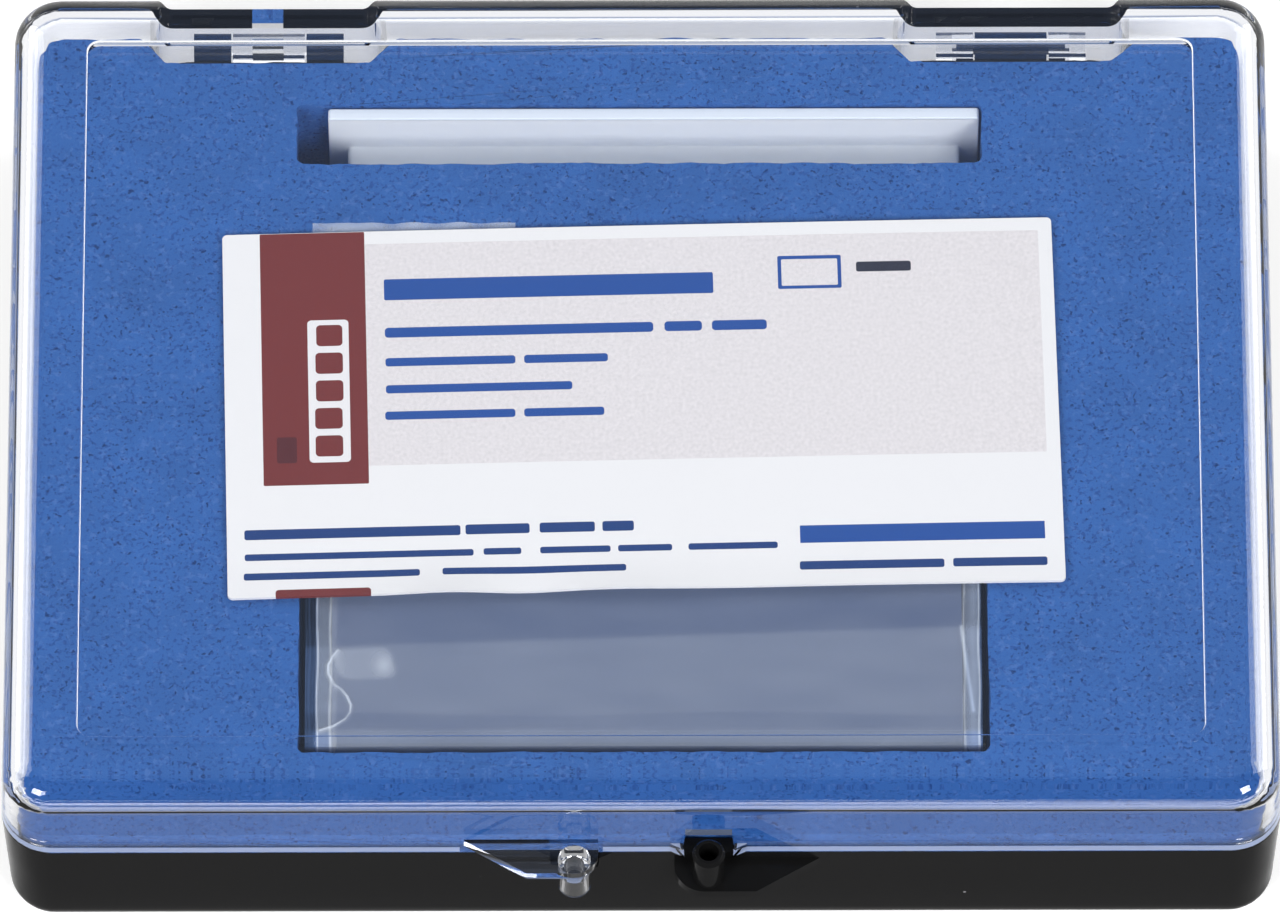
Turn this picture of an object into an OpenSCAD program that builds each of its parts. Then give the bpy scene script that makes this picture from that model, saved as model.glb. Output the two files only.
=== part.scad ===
// Semi-micro glass cuvette with its stopper plate, foam and hinged storage case.
// Millimetres, +Z up.  The origin is the middle of the case's underside,
// the hinges are on the +Y side and the closure on the -Y side.

/* [Case] */
// Width of the closed case, along the hinge side
case_w = 101.2; // [96:0.2:120]
// Depth of the closed case, from the closure side to the hinge side
case_d = 75; // [74:0.5:90]
// Height of the opaque lower half, up to the parting plane
base_h = 12.8; // [11.7:0.1:13.2]
// Height of the clear lid above the parting plane
lid_h = 8.1; // [7.8:0.1:12]
// Wall thickness of both halves
wall_t = 1.3; // [1.2:0.1:1.6]
// Thickness of the flat faces of both halves
face_t = 1.5; // [1.4:0.1:2]
// Radius of the four upright corners
corner_r = 4; // [3.6:0.1:6]
// Radius of the rounded edge round the underside
edge_r = 3; // [2.4:0.1:3.4]
// Radius of the rounded edge round the lid's top
lid_edge_r = 2.6; // [2.2:0.1:3]
// How much larger the radius inside the lid is than an even wall would give
lid_inner_add = 0.2; // [0:0.05:0.6]
// Draft of the four sides of both halves, in degrees
draft = 2.4; // [1:0.2:4]
// Border left in front of and beside the sunk panel on the lid
panel_border = 6.2; // [5:0.1:9]
// Border left behind the panel, on the hinge side
panel_rear = 5.25; // [5:0.05:9]
// Depth of the sunk panel
panel_d = 0.6; // [0.2:0.1:0.7]
// Corner radius of the sunk panel
panel_r = 1; // [0.5:0.1:2]
// Air gap left between the two rims when the case is shut
rim_gap = 0.1; // [0.06:0.02:0.2]

/* [Hinges] */
// Distance of each hinge from the middle of the case
hinge_x = 30; // [26:0.5:33]
// Radius of the hinge knuckles
knuckle_r = 1.15; // [1:0.05:1.2]
// Distance of the hinge axis inside the outer rear face
axis_inset = 0.5; // [0.4:0.05:0.6]
// Length of the middle knuckle
mid_knuckle = 5.8; // [4:0.1:7]
// Length of each outer knuckle
end_knuckle = 3; // [2.2:0.1:3.4]
// Side gap between neighbouring knuckles
knuckle_gap = 0.15; // [0.1:0.05:0.3]
// Radius of the moulded stub pins
pin_r = 0.55; // [0.45:0.05:0.65]
// Length of each stub pin
pin_l = 1.5; // [1:0.1:1.8]
// Radial clearance of a pin in its socket
pin_clear = 0.05; // [0.03:0.01:0.1]
// Air between a knuckle and the other half's recessed wall
knuckle_air = 0.45; // [0.25:0.05:0.5]
// Half width of a hinge recess where its S-shaped ends begin
recess_foot = 7.6; // [7.5:0.1:9]
// Thickness of the wall round a hinge recess
recess_wall = 1.35; // [1.1:0.05:1.5]
// Width of the moulding window above the middle knuckle
window_w = 2.5; // [1.5:0.1:4]
// Height of the moulding window
window_h = 2.3; // [1:0.1:2.5]
// Opening at which the bevelled rear rims would meet, in degrees
stop_angle = 110; // [100:1:116]

/* [Closure] */
// Distance of each closure peg from the middle of the case
peg_x = 5.3; // [5:0.1:8]
// Radius of a closure peg
peg_r = 1.3; // [1.1:0.05:1.4]
// Air between a peg and the outer front face
peg_air = 0.15; // [0.1:0.05:0.3]
// How far a peg reaches past the parting plane
peg_reach = 2.7; // [2:0.1:3]
// Radius of the hollow in a peg's tip
peg_bore_r = 0.8; // [0.5:0.05:0.9]
// Depth of the hollow in a peg's tip
peg_bore_d = 2.3; // [1.5:0.1:3]
// How far the finger tongue stands out in front
tongue_out = 2.95; // [2.8:0.05:4]
// Distance from the parting plane to the tongue
tongue_rise = 1.08; // [0.8:0.02:1.4]
// How far the lid's tongue reaches past its peg
lid_tongue_end = 1.9; // [1.7:0.1:2.8]
// How far the lower half's tongue reaches past its peg
base_tongue_end = 2.7; // [1.7:0.1:2.8]
// Thickness of the tongue
tongue_t = 0.92; // [0.7:0.02:1.2]
// Where the tongue leaves the wall, from the middle of the case
tongue_root = 14; // [12.5:0.1:18]
// Where the tongue's slope ends, from the middle of the case
tongue_knee = 9.06; // [8:0.02:11]
// Height of the notch for the other half's peg
notch_h = 2.6; // [2.2:0.1:3]
// Width of that notch at the rim
notch_w = 4.2; // [3.6:0.1:5]

/* [Foam] */
// Thickness of the foam insert
foam_t = 12.9; // [12.6:0.1:14]
// Air between the foam and the case's left and right walls
foam_air = 0.04; // [0.02:0.02:0.5]
// Air between the foam and the front and rear walls
foam_end_air = 0.2; // [0.1:0.05:0.5]
// Length of the stopper's slot beyond the stopper itself
plate_slot_end = 2.7; // [0.8:0.1:6]
// Width of the stopper's slot beyond its plate and plug
plate_slot_side = 2; // [0.6:0.1:3]
// Air round the film sleeve in its slot
cell_slot_air = 0.55; // [0.3:0.05:0.8]
// Foam left between the sleeve's slot and the hinge side slot
slot_bridge = 6.4; // [4:0.1:8]
// Foam left behind the stopper plate's slot
rear_foam = 5.95; // [5:0.05:8]
// Corner radius of both slots
slot_r = 0.6; // [0.3:0.1:0.6]

/* [Cell] */
// Optical path between the two windows
path_l = 50; // [40:0.5:50]
// Thickness of each polished window
window_t = 1.25; // [1:0.05:1.5]
// Height of the cell, which lies along Y in the case
cell_h = 45; // [40:0.5:46]
// Outside width of the cell, which lies along Z in the case
cell_w = 12.5; // [12:0.1:12.5]
// Width of the semi-micro chamber
chamber_w = 4; // [2:0.5:6]
// Thickness of the chamber floor
floor_t = 1.5; // [1:0.1:3]
// Edge bevel of the windows
window_bevel = 0.15; // [0.1:0.05:0.3]

/* [Stopper plate] */
// Thickness of the stopper's cover plate
plate_t = 1; // [0.8:0.1:1.4]
// Depth of the stopper's plug
plug_d = 2.6; // [2:0.1:3.2]
// Fit clearance of the plug in the chamber, per side
plug_clear = 0.05; // [0.02:0.01:0.1]
// Radius of the plug's corners
plug_r = 0.4; // [0.2:0.1:0.8]

/* [Film and card] */
// Thickness of the film sleeve
film_t = 0.12; // [0.1:0.02:0.2]
// Air between the film and the cell
film_air = 0.12; // [0.1:0.02:0.2]
// Extra slack of the sleeve on its left side
film_slack = 0.55; // [0.4:0.05:1]
// Width of the film's tail that is tucked under the card
tail_w = 16.5; // [8:0.5:30]
// How far the tail reaches over the foam
tail_l = 1; // [0.5:0.1:2]
// Width of the printed card
card_w = 66.6; // [60:0.1:72]
// Depth of the printed card
card_d = 33.5; // [28:0.1:36]
// Thickness of the printed card
card_t = 0.3; // [0.2:0.05:0.5]
// Turn of the card as it lies on the foam, in degrees
card_turn = 1.3; // [0:0.1:3]
// Place of the card's middle along Y
card_y = 1.55; // [-3:0.05:4]
// Radius of the card's corners
card_r = 0.4; // [0.2:0.1:2]

/* [Hidden] */
$fn = 48;
e = 0.01;
rear = case_d / 2;
axis_y = rear - axis_inset;
// recess behind the knuckles, and the wall that closes it
recess_d = axis_inset + knuckle_r + knuckle_air;
boss_d = recess_d + recess_wall;
lean = micron(tan(draft));
rim_z = rim_gap / 2;
floor_z = face_t;
in_w = case_w - 2 * wall_t;
in_d = case_d - 2 * wall_t;
in_corner = corner_r - wall_t;
panel_y = (panel_border - panel_rear) / 2;
foam_top = floor_z + foam_t;
foam_w = in_w - 2 * (foam_air + lean * (foam_top - base_h));
foam_d = in_d - 2 * foam_end_air;
notch_d = boss_d + 0.05 - wall_t - foam_end_air;
peg_y = -rear - peg_air - peg_r;
// sleeve and cell, from the slots outwards
cell_l = path_l + 2 * window_t;
plate_slot_l = cell_l + plate_slot_end;
plate_slot_w = plate_t + plug_d + plate_slot_side;
plate_slot_y = foam_d / 2 - rear_foam - plate_slot_w / 2;
cell_slot_rear = plate_slot_y - plate_slot_w / 2 - slot_bridge;
sleeve_w = cell_l + film_slack + 3 * film_air + 2 * film_t;
sleeve_d = cell_h + film_air + film_t;
cell_slot_l = sleeve_w + 2 * cell_slot_air;
cell_slot_d = sleeve_d + 2 * cell_slot_air + film_air;
cell_slot_y = cell_slot_rear - cell_slot_d / 2;
sleeve_x = 0.2;
sleeve_front = cell_slot_y - cell_slot_d / 2 + cell_slot_air;
sleeve_z = floor_z + 0.05;
cell_x = sleeve_x + (film_slack - film_air) / 2 + film_air / 2;
cell_front = sleeve_front + film_t + film_air;
cell_z = sleeve_z + film_t + 0.03;
side_t = (cell_w - chamber_w) / 2;
film_top = cell_z + cell_w + film_air + film_t;
tail_z = max(foam_top, film_top) + 0.02;
card_z = tail_z + film_t + 0.02;

// ---- shapes shared by several pieces ----

function micron(v) = round(v * 1000) / 1000;

// Rectangle with round corners, centred
module round_rect(w, d, r) {
    square([w - 2 * r, d], center = true);
    square([w, d - 2 * r], center = true);
    for (sx = [-1, 1], sy = [-1, 1])
        translate([sx * (w / 2 - r), sy * (d / 2 - r)]) circle(r);
}

// Upright section of a block, hw wide at its foot, with a side that leans in
// by lean for each millimetre of height and a rounded top edge of radius r.
// Lengths are kept to 0.001 mm, and the arc is set out by bite where it meets a
// leaning side, so that the two cross cleanly.
module edge_section(hw, h, r, lean) {
    a = atan(lean);
    bite = lean > 0 ? 0.002 : 0;
    side_h = micron(h - r + r * sin(a));
    cx = hw - micron((r + (h - r) * sin(a)) / cos(a)) + bite;
    polygon([[0, 0], [hw, 0], [hw - micron(lean * side_h), side_h], [0, side_h]]);
    square([cx, h]);
    intersection() {
        translate([cx, h - r]) circle(r);
        translate([cx, h - r]) square([r, r]);
    }
}

// Block with upright corners of radius rc at its foot, a rounded top edge of
// radius re and sides that lean in
module soft_block(w, d, h, rc, re, lean = 0) {
    for (q = [[0, 1, 1], [90, -1, 1], [180, -1, -1], [270, 1, -1]])
        translate([q[1] * (w / 2 - rc), q[2] * (d / 2 - rc), 0])
            rotate([0, 0, q[0]])
                rotate_extrude(angle = 90) edge_section(rc, h, re, lean);
    rotate([90, 0, 90]) linear_extrude(w - 2 * rc, center = true) {
        edge_section(d / 2, h, re, lean);
        mirror([1, 0]) edge_section(d / 2, h, re, lean);
    }
    rotate([90, 0, 0]) linear_extrude(d - 2 * rc, center = true) {
        edge_section(w / 2, h, re, lean);
        mirror([1, 0]) edge_section(w / 2, h, re, lean);
    }
}

// Plan of a recess with its mouth on y = 0 and S-shaped ends: half is half the
// length of its straight foot, run how far each end reaches beyond that and r the
// radius of the bends.  A slope that leans by a joins the two bends.
// The bends are set out by bite, so that they cross the slope cleanly.
module recess_plan(half, run, deep, r) {
    a = atan2(deep - 2 * r, run) + asin(2 * r / norm([run, deep - 2 * r]));
    bite = 0.002;
    sx = micron(r * sin(a));
    sy = micron(r * (1 - cos(a)));
    foot = half + bite;
    mouth = half + run - bite;
    for (s = [-1, 1]) {
        translate([s * foot, r - deep]) circle(r);
        difference() {
            polygon([[0, 1], [0, -deep], [s * foot, -deep], [s * foot, r - deep],
                [s * (half + sx), sy - deep], [s * (half + run - sx), -sy], [s * mouth, -r],
                [s * mouth, 1]]);
            translate([s * mouth, -r]) circle(r);
        }
    }
}

// Plan of the wall that stands into the case round a recess
module boss_plan() {
    recess_plan(recess_foot, 3.5, boss_d, 1.3);
}

// One knuckle along X, with the web that ties it to its own rim
module knuckle(len, x) {
    translate([x, axis_y, 0]) rotate([0, 90, 0]) cylinder(r = knuckle_r, h = len, center = true);
    translate([x - len / 2, rear - recess_d - recess_wall / 2, rim_z])
        cube([len, axis_y - rear + recess_d + recess_wall / 2, 0.85 * knuckle_r]);
}

// Plan of the finger tongue, with the peg near its free end, which reaches
// past the peg by reach
module tongue_plan(reach) {
    end_r = min(reach, 2.4);
    polygon([[-tongue_root, 0.6], [-tongue_root, 0], [-tongue_knee, -tongue_out],
        [-peg_x, -tongue_out], [-peg_x, 0.6]]);
    intersection() {
        union() {
            translate([-peg_x + reach - end_r, -tongue_out + end_r]) circle(end_r);
            translate([-peg_x - 1, -tongue_out]) square([1 + reach - end_r, tongue_out + 0.6]);
            translate([-peg_x - 1, -tongue_out + end_r])
                square([1 + reach, tongue_out - end_r + 0.6]);
        }
        translate([-peg_x - 1, -tongue_out - 1]) square([2 + reach, tongue_out + 1.6]);
    }
}

// One half of the case, rim down on z = 0 and its flat face up, h high, with outer
// and inner edge radii re and ri, the reach of its tongue and the depth of its panel.
// The other half is the same kind of moulding turned over about Y.
module case_half(h, re, ri, reach, sunk) {
    difference() {
        union() {
            difference() {
                soft_block(case_w, case_d, h, corner_r, re, lean);
                if (sunk > 0) translate([0, panel_y, h - sunk]) linear_extrude(sunk + 1)
                    round_rect(case_w - 2 * panel_border, case_d - panel_border - panel_rear,
                        panel_r);
                // hollow, with the hinge walls left standing in it
                difference() {
                    translate([0, 0, -1])
                        soft_block(in_w + 2 * lean, in_d + 2 * lean, h - face_t + 1,
                            in_corner + lean, ri, lean);
                    for (s = [-1, 1]) translate([s * hinge_x, rear, -2])
                        linear_extrude(h + 2) boss_plan();
                }
                for (s = [-1, 1]) translate([s * hinge_x, rear, -1])
                    linear_extrude(h + 2) recess_plan(recess_foot, 2, recess_d, 0.7);
                // moulding window above the middle knuckle
                translate([-hinge_x - window_w / 2, rear - boss_d - 1, 1.8])
                    cube([window_w, boss_d, window_h]);
                // rim
                translate([0, 0, rim_z / 2 - 1]) cube([case_w + 2, case_d + 2, rim_z + 2], center = true);
                // bevel of the rear rim that lets the half swing back
                translate([0, axis_y, 0]) rotate([90, 0, 90])
                    linear_extrude(case_w + 2, center = true)
                        polygon([[0, -1], [0, 0], [2, 2 * tan(stop_angle / 2)], [2, -1]]);
                // notch for the other half's peg
                translate([peg_x, -rear + wall_t / 2, 0]) rotate([90, 0, 0])
                    linear_extrude(wall_t + 1, center = true)
                        polygon([[-notch_w / 2, -1], [notch_w / 2, -1], [notch_w / 2, rim_z],
                            [notch_w / 2 - 0.25, notch_h], [0.25 - notch_w / 2, notch_h],
                            [-notch_w / 2, rim_z]]);
            }
            // finger tongue and closure peg
            translate([0, -rear, tongue_rise]) linear_extrude(tongue_t) tongue_plan(reach);
            translate([-peg_x, peg_y, -peg_reach + 0.3])
                cylinder(r = peg_r, h = peg_reach - 0.3 + tongue_rise + tongue_t);
            translate([-peg_x, peg_y, -peg_reach]) cylinder(r1 = peg_r - 0.25, r2 = peg_r, h = 0.3);
            // guide wings beside the notch
            for (s = [-1, 1]) translate([peg_x, -rear, rim_z]) linear_extrude(notch_h / 2)
                polygon([[s * notch_w / 2, 0.4], [s * (notch_w / 2 - 0.15), -0.5],
                    [s * (notch_w / 2 + 0.9), 0], [s * (notch_w / 2 + 0.9), 0.4]]);
            // middle knuckle with its stub pins on one hinge, the two outer ones on the other
            knuckle(mid_knuckle, -hinge_x);
            translate([-hinge_x, axis_y, 0]) rotate([0, 90, 0])
                cylinder(r = pin_r, h = mid_knuckle + 2 * pin_l, center = true);
            for (s = [-1, 1])
                knuckle(end_knuckle, hinge_x + s * (mid_knuckle / 2 + knuckle_gap + end_knuckle / 2));
        }
        // hollow tip of the peg
        translate([-peg_x, peg_y, -peg_reach - 1]) cylinder(r = peg_bore_r, h = peg_bore_d + 1);
        // sockets in the outer knuckles
        translate([hinge_x, axis_y, 0]) rotate([0, 90, 0])
            cylinder(r = pin_r + pin_clear, h = mid_knuckle + 2 * (pin_l + knuckle_gap + 0.2),
                center = true);
    }
}

// ---- pieces ----

// Opaque lower half
module case_base() {
    color([0.14, 0.14, 0.14])
        translate([0, 0, base_h]) rotate([0, 180, 0])
            case_half(base_h, edge_r, edge_r - wall_t, base_tongue_end, 0);
}

// Clear lid, hinged on the lower half
module case_lid() {
    color([0.86, 0.9, 0.95, 0.35])
        translate([0, 0, base_h])
            case_half(lid_h, lid_edge_r, lid_edge_r - wall_t + lid_inner_add, lid_tongue_end,
                panel_d);
}

// Foam block with one slot for the sleeved cell and one for the stopper plate
module foam_insert() {
    color([0.29, 0.43, 0.7])
        difference() {
            translate([0, 0, foam_top]) rotate([0, 180, 0])
                soft_block(foam_w, foam_d, foam_t, in_corner, edge_r - wall_t + 0.3, lean);
            // notches round the hinge walls
            for (s = [-1, 1]) translate([s * hinge_x, foam_d / 2, 0])
                linear_extrude(foam_top + 1)
                    recess_plan(recess_foot + 0.25, 2.7, notch_d, 0.9);
            translate([-0.1, plate_slot_y, 0]) linear_extrude(foam_top + 1)
                round_rect(plate_slot_l, plate_slot_w, slot_r);
            translate([sleeve_x, cell_slot_y, 0]) linear_extrude(foam_top + 1)
                round_rect(cell_slot_l, cell_slot_d, slot_r);
        }
}

// Polished end window, its bevelled long edges outside
module cell_window(side) {
    color([0.8, 0.88, 0.93, 0.5])
        translate([cell_x + side * path_l / 2, cell_front, cell_z])
            rotate([-90, 0, 0]) linear_extrude(cell_h)
                polygon([[0, 0], [side * (window_t - window_bevel), 0],
                    [side * window_t, -window_bevel],
                    [side * window_t, window_bevel - cell_w],
                    [side * (window_t - window_bevel), -cell_w], [0, -cell_w]]);
}

module cell_window_left() { cell_window(-1); }
module cell_window_right() { cell_window(1); }

// Frosted side plate beside the chamber
module cell_side(z) {
    color([0.72, 0.78, 0.85, 0.7])
        translate([cell_x - path_l / 2, cell_front, cell_z + z]) cube([path_l, cell_h, side_t]);
}

module cell_side_lower() { cell_side(0); }
module cell_side_upper() { cell_side(side_t + chamber_w); }

// Floor of the chamber, fused between the side plates
module cell_floor() {
    color([0.72, 0.78, 0.85, 0.7])
        translate([cell_x - path_l / 2, cell_front, cell_z + side_t])
            cube([path_l, floor_t, chamber_w]);
}

// Stopper: a cover plate with a plug that fits the chamber, stood on its long edge
module stopper_plate() {
    right = plate_slot_l / 2 - 0.25;
    plug_l = path_l - 2 * (plug_clear + 0.25);
    plug_w = chamber_w - 2 * plug_clear;
    y1 = plate_slot_y + plate_slot_w / 2 - 0.2;
    color([0.93, 0.95, 0.97])
        translate([right - cell_l / 2, y1, sleeve_z + cell_w / 2]) rotate([90, 0, 0]) {
            linear_extrude(plate_t) round_rect(cell_l, cell_w, 0.3);
            translate([0, 0, plate_t - e]) linear_extrude(plug_d + e)
                round_rect(plug_l, plug_w, plug_r);
        }
}

// Film bag round the cell, open at the hinge end with a tail tucked under the card
module film_sleeve() {
    x0 = sleeve_x - sleeve_w / 2;
    z1 = film_top;
    color([0.85, 0.9, 0.98, 0.25]) {
        difference() {
            translate([x0, sleeve_front, sleeve_z]) cube([sleeve_w, sleeve_d, z1 - sleeve_z]);
            translate([x0 + film_t, sleeve_front + film_t, sleeve_z + film_t])
                cube([sleeve_w - 2 * film_t, sleeve_d, z1 - sleeve_z - 2 * film_t]);
        }
        translate([x0 + 0.3, sleeve_front + sleeve_d - film_t, z1 - film_t])
            cube([tail_w, film_t, tail_z + film_t - z1 + film_t]);
        translate([x0 + 0.3, sleeve_front + sleeve_d - film_t, tail_z])
            cube([tail_w, tail_l + cell_slot_air + film_t, film_t]);
    }
}

// Printed card lying on the foam
module label_card() {
    color([0.95, 0.95, 0.96])
        translate([0.1, card_y, card_z]) rotate([0, 0, card_turn])
            linear_extrude(card_t) round_rect(card_w, card_d, card_r);
}

case_base();
case_lid();
foam_insert();
cell_window_left();
cell_window_right();
cell_side_lower();
cell_side_upper();
cell_floor();
stopper_plate();
film_sleeve();
label_card();
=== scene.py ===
"""Semi-micro glass cuvette in its foam-lined, hinged storage case.

Dressed pieces, materials and a plain studio round the fixed CAD frame.
"""

import math

import bmesh
import bpy
from bpy.props import FloatProperty, FloatVectorProperty, PointerProperty
from mathutils import Matrix, Vector, noise


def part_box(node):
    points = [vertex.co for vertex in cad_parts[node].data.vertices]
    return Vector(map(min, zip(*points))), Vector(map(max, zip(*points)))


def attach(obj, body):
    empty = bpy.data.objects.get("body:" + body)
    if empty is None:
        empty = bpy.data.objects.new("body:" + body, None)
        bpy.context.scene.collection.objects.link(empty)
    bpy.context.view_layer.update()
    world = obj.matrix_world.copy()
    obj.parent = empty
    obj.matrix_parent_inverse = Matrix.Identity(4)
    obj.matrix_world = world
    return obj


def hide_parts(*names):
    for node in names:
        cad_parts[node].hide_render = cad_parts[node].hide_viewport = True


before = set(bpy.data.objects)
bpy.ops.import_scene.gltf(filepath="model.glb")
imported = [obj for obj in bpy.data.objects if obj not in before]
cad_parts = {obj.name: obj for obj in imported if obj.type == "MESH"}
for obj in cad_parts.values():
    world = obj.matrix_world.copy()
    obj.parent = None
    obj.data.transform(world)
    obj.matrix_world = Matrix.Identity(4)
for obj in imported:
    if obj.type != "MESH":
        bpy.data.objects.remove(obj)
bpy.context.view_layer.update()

bl_info = {
    "name": "Cased cuvette",
    "version": (1, 0, 0),
    "blender": (4, 5, 0),
    "location": "View3D > Sidebar > Cuvette",
    "description": "Glass cuvette, stopper, film, card and foam in a hinged case",
    "category": "Add Mesh",
}

MM = 0.001
WHITE = (1.0, 1.0, 1.0)
LOWER, LID = "lower_case", "lid"

# Vertices this close are joined, or lie on the plane of a cut
JOINED, ON_CUT = 1e-6, 1e-7
# Heights and planes this close count as the same
SAME_HEIGHT, SAME_PLANE = 0.005 * MM, 0.02 * MM
# Edges sharper than this are rounded; corners within this angle are shaded smoothly
SHARP_ANGLE, SMOOTH_ANGLE = math.radians(60), math.radians(38)
FILLET_SEGMENTS = 4

# The lid's height from its foot to its top, and the clear tongue's reach in x
LID_HEIGHT = 8.05 * MM
TONGUE_SPAN = (-14.35 * MM, -3.05 * MM)
# Material slots of the lid's faces (the foot's slot takes painted light, the tongue
# root's slot painted shade), and the clear hem along its foot's edges
FOOT_SLOT, ROOT_SLOT = 1, 2
FOOT_HEM = 0.16 * MM
PANEL_FILLET = 0.2 * MM

# How far the bag's sealed end reaches past the solid sleeve
SEAL_REACH = 1.3 * MM
# Height of the bag's upper side
BAG_TOP = 0.01444
CARD_TURN = math.radians(1.3)

# Painted shade on the foam, behind both hinge walls and along the front: left, right, low
# and high in millimetres, amount, colour
FOAM_PAINTED_SHADE = (
    (-37.3, -22.7, 33.9, 50.0, 1.0, (0.006, 0.007, 0.009)),
    (22.7, 37.3, 33.9, 50.0, 1.0, (0.006, 0.007, 0.009)),
    (-50.0, 50.0, -35.93, -31.6, 0.28, (0.008, 0.060, 0.270)),
)

# Lamps that look at the origin: name, width and height, power, place
LAMPS = (
    ("low_strip", 2.2, 0.09, 2.5, (0.0, -1.35, 0.16)),
    ("front_left", 0.6, 0.6, 18.0, (-0.76, -1.10, 1.10)),
    ("front_right", 0.6, 0.6, 18.0, (0.76, -1.10, 1.10)),
    ("side_left", 0.9, 0.9, 7.0, (-1.25, 0.65, 0.90)),
    ("side_right", 0.9, 0.9, 7.0, (1.25, 0.65, 0.90)),
)

# The camera: tilt down and roll, distance from its target in metres, focal length
# in millimetres
TILT, ROLL = math.radians(60.40), math.radians(-0.12)
DISTANCE, FOCAL = 1.4561, 511.3
TARGET = (-0.05 * MM, -0.07 * MM, 10.0 * MM)


# ---------------------------------------------------------------- settings


class CuvetteCaseSettings(bpy.types.PropertyGroup):
    """Colours and finishes that a user would change."""

    foam_colour: FloatVectorProperty(
        name="Foam", description="Colour of the foam insert", subtype="COLOR",
        size=3, min=0, max=1, default=(0.027, 0.108, 0.352))
    shell_colour: FloatVectorProperty(
        name="Lower case", description="Colour of the opaque lower half", subtype="COLOR",
        size=3, min=0, max=1, default=(0.006, 0.006, 0.0062))
    clear_tint: FloatVectorProperty(
        name="Lid tint", description="Tint of the clear lid", subtype="COLOR",
        size=3, min=0, max=1, default=(0.965, 0.97, 0.985))
    frost_colour: FloatVectorProperty(
        name="Ground glass", description="Colour of the ground sides of the cell",
        subtype="COLOR", size=3, min=0, max=1, default=(0.068, 0.095, 0.178))
    card_colour: FloatVectorProperty(
        name="Card", description="Colour of the blank card", subtype="COLOR",
        size=3, min=0, max=1, default=(0.80, 0.795, 0.80))
    block_colour: FloatVectorProperty(
        name="Card block", description="Colour of the block at the card's left",
        subtype="COLOR", size=3, min=0, max=1, default=(0.155, 0.020, 0.011))
    rule_colour: FloatVectorProperty(
        name="Card rules", description="Colour of the rules and bars on the card",
        subtype="COLOR", size=3, min=0, max=1, default=(0.010, 0.065, 0.290))
    foam_edge: FloatProperty(
        name="Foam edge", description="Radius of the foam's cut edges",
        subtype="DISTANCE", unit="LENGTH", default=0.0003, min=0.0001, max=0.001)


def settings():
    """The settings of the scene at hand."""
    return bpy.context.scene.cuvette_case


# ---------------------------------------------------------------- mesh helpers


def piece_from(bm, name, body, slot, *replaced):
    """Turns a bmesh into a finished piece on its body."""
    mesh = bpy.data.meshes.new(name)
    bm.to_mesh(mesh)
    bm.free()
    piece = bpy.data.objects.new(name, mesh)
    bpy.context.scene.collection.objects.link(piece)
    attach(piece, body)
    if replaced:
        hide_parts(*replaced)
    return piece


def dress(piece, *materials):
    """Puts these materials on a piece in place of its own."""
    piece.data.materials.clear()
    for mat in materials:
        piece.data.materials.append(mat)


def merged_copy(node):
    """A bmesh of a CAD node with its loose triangles joined up again."""
    bm = bmesh.new()
    bm.from_mesh(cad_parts[node].data)
    bmesh.ops.remove_doubles(bm, verts=bm.verts, dist=JOINED)
    return bm


def sharp_edges_at(bm, height):
    """Edges at one height where two faces meet sharply."""
    return [edge for edge in bm.edges
            if len(edge.link_faces) == 2
            and all(abs(v.co.z - height) < SAME_HEIGHT for v in edge.verts)
            and edge.calc_face_angle() > SHARP_ANGLE]


def cut_across(bm, place, direction):
    """Cuts every face along one plane."""
    bmesh.ops.bisect_plane(bm, geom=bm.verts[:] + bm.edges[:] + bm.faces[:],
                           plane_co=place, plane_no=direction, dist=ON_CUT)


def round_off(bm, edges, radius):
    """Rounds edges with a fillet of this radius."""
    bmesh.ops.bevel(bm, geom=edges, offset=radius, offset_type="OFFSET",
                    segments=FILLET_SEGMENTS, profile=0.5, affect="EDGES", material=-1,
                    clamp_overlap=True)


def true_normals(piece):
    """Smooth shading in which every flat face stays almost exactly flat.

    At each corner the faces within the smooth angle are averaged, weighted by
    the squared area of the whole plane that each belongs to, so a fillet starts
    with the normal of the flat that it leaves.
    """
    mesh = piece.data
    limit = math.cos(SMOOTH_ANGLE)
    planes, share = [], {}
    for face in mesh.polygons:
        normal = face.normal
        key = (round(normal.x, 2), round(normal.y, 2), round(normal.z, 2),
               round(normal.dot(face.center) / SAME_PLANE))
        planes.append(key)
        share[key] = share.get(key, 0.0) + face.area
    around = [[] for _ in mesh.vertices]
    for face, key in zip(mesh.polygons, planes):
        entry = (face.normal.copy(), (share[key] * 1e6) ** 2 + 1e-9)
        for vertex in face.vertices:
            around[vertex].append(entry)
    corners = []
    for face in mesh.polygons:
        own = face.normal
        for vertex in face.vertices:
            total = Vector((0.0, 0.0, 0.0))
            for normal, weight in around[vertex]:
                if normal.dot(own) > limit:
                    total += normal * weight
            corners.append(total.normalized() if total.length > 0 else own.copy())
        face.use_smooth = True
    mesh.normals_split_custom_set(corners)


def bake_modifiers(piece):
    """Applies every modifier, so that the piece is a plain mesh."""
    graph = bpy.context.evaluated_depsgraph_get()
    done = bpy.data.meshes.new_from_object(piece.evaluated_get(graph))
    piece.modifiers.clear()
    old, piece.data = piece.data, done
    bpy.data.meshes.remove(old)


def cut_finely(bm, edges, length):
    """Divides long edges into pieces of about this length."""
    by_cuts = {}
    for edge in edges:
        by_cuts.setdefault(int(edge.calc_length() / length), []).append(edge)
    for cuts, group in by_cuts.items():
        if cuts:
            bmesh.ops.subdivide_edges(bm, edges=group, cuts=cuts)


# ---------------------------------------------------------------- material helpers


def material(name, colour, roughness, **sockets):
    """A material with one Principled shader and the given plain values."""
    mat = bpy.data.materials.new(name)
    mat.use_nodes = True
    shader = mat.node_tree.nodes["Principled BSDF"]
    shader.inputs["Base Color"].default_value = (*colour, 1.0)
    shader.inputs["Roughness"].default_value = roughness
    for key, value in sockets.items():
        shader.inputs[key.replace("_", " ")].default_value = value
    return mat


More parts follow.
